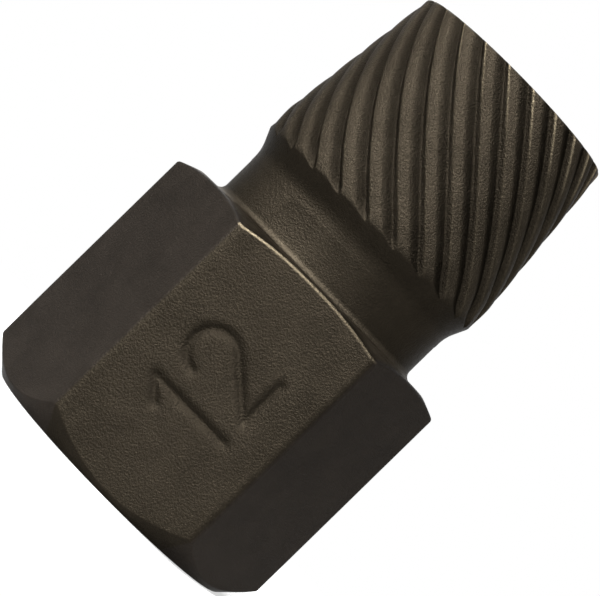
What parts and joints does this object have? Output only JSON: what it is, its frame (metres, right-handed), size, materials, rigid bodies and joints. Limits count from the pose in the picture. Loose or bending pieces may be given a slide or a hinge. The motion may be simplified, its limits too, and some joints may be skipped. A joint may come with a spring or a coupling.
{
  "type": "screw extractor",
  "caption": "Multi-spline screw extractor: hexagonal drive body with a square drive hole, round neck and tapered end with left-hand helical splines.",
  "frame": {"origin": "centre of the drive-end face, on the part's axis", "axes": "+Z along the axis from the drive end to the splined tip; two flats of the hexagon face -Y and +Y and two of its corners lie on -X and +X"},
  "size_m": [0.0184, 0.016, 0.0285],
  "materials": {
    "blasted_steel": "shot-blasted hardened steel with a dark brown-black oxide finish, matte and finely grained"
  },
  "bodies": {
    "root": {"extractor_body": "blasted_steel"}
  },
  "joints": []
}
